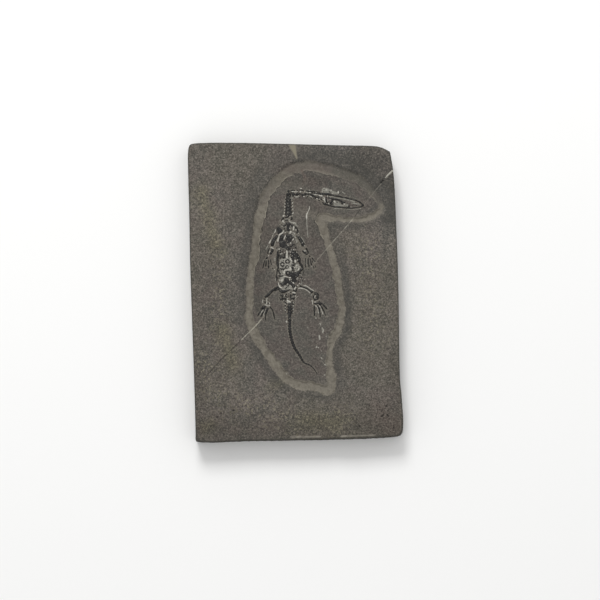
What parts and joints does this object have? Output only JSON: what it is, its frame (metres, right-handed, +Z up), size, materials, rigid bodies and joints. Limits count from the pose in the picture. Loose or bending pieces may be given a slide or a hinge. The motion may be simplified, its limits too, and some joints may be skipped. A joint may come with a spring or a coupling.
{
  "type": "fossil marine reptile slab",
  "caption": "Flat stone slab with a small long-necked marine reptile skeleton lying belly up in a shallow prepared hollow; rests on its flat underside.",
  "frame": {"origin": "middle of the flat underside, the surface the slab rests on", "axes": "+Z up out of the fossil face; +Y along the slab's length towards the neck end; +X towards the side the head points to"},
  "size_m": [0.179, 0.2498, 0.0188],
  "materials": {
    "limestone": "matt, naturally split and finely pecked",
    "fossil_bone": "satin"
  },
  "bodies": {
    "root": {"belly_ribs": "fossil_bone", "collar_bones": "fossil_bone", "left_coracoid": "fossil_bone", "left_femur": "fossil_bone", "left_fibula": "fossil_bone", "left_foot": "fossil_bone", "left_hand": "fossil_bone", "left_humerus": "fossil_bone", "left_radius": "fossil_bone", "left_ribs": "fossil_bone", "left_scapula": "fossil_bone", "left_tibia": "fossil_bone", "left_ulna": "fossil_bone", "lower_jaw": "fossil_bone", "matrix_slab": "limestone", "neck_vertebrae": "fossil_bone", "palate_bones": "fossil_bone", "pelvis": "fossil_bone", "right_coracoid": "fossil_bone", "right_femur": "fossil_bone", "right_fibula": "fossil_bone", "right_foot": "fossil_bone", "right_hand": "fossil_bone", "right_humerus": "fossil_bone", "right_radius": "fossil_bone", "right_ribs": "fossil_bone", "right_scapula": "fossil_bone", "right_tibia": "fossil_bone", "right_ulna": "fossil_bone", "tail_vertebrae": "fossil_bone"}
  },
  "joints": []
}
